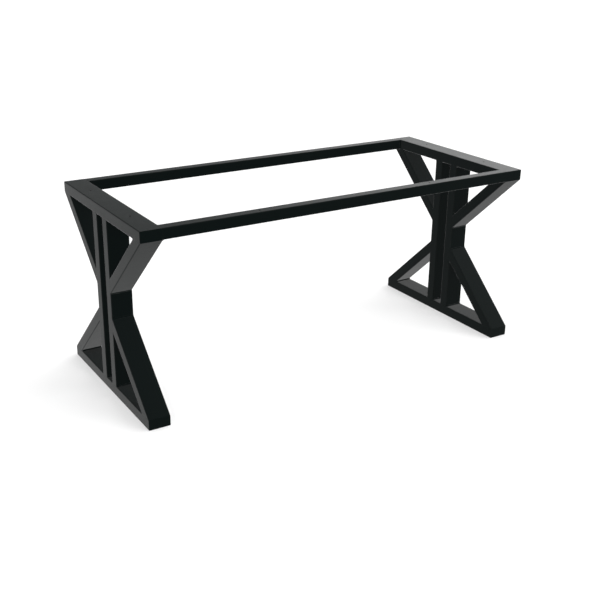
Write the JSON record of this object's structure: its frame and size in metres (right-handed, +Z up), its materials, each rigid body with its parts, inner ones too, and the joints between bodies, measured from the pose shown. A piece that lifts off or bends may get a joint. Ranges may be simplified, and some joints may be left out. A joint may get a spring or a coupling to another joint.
{
  "type": "table base",
  "caption": "Welded steel tube table base: leg frames with paired posts and slanting braces, tied by long rails into an open top frame that is drilled to take a table top.",
  "frame": {"origin": "on the floor, under the middle of the base", "axes": "+X along the length of the table, +Y to the rear, +Z up"},
  "size_m": [1.6, 0.7, 0.7],
  "materials": {
    "black_powder_coat": "satin powder coat"
  },
  "bodies": {
    "root": {"left_top_bar": "black_powder_coat", "left_foot_bar": "black_powder_coat", "left_front_post": "black_powder_coat", "left_front_upper_brace": "black_powder_coat", "left_front_lower_brace": "black_powder_coat", "left_front_top_cap": "black_powder_coat", "left_front_foot_cap": "black_powder_coat", "left_rear_post": "black_powder_coat", "left_rear_upper_brace": "black_powder_coat", "left_rear_lower_brace": "black_powder_coat", "left_rear_top_cap": "black_powder_coat", "left_rear_foot_cap": "black_powder_coat", "right_top_bar": "black_powder_coat", "right_foot_bar": "black_powder_coat", "right_front_post": "black_powder_coat", "right_front_upper_brace": "black_powder_coat", "right_front_lower_brace": "black_powder_coat", "right_front_top_cap": "black_powder_coat", "right_front_foot_cap": "black_powder_coat", "right_rear_post": "black_powder_coat", "right_rear_upper_brace": "black_powder_coat", "right_rear_lower_brace": "black_powder_coat", "right_rear_top_cap": "black_powder_coat", "right_rear_foot_cap": "black_powder_coat", "front_rail": "black_powder_coat", "rear_rail": "black_powder_coat"}
  },
  "joints": []
}
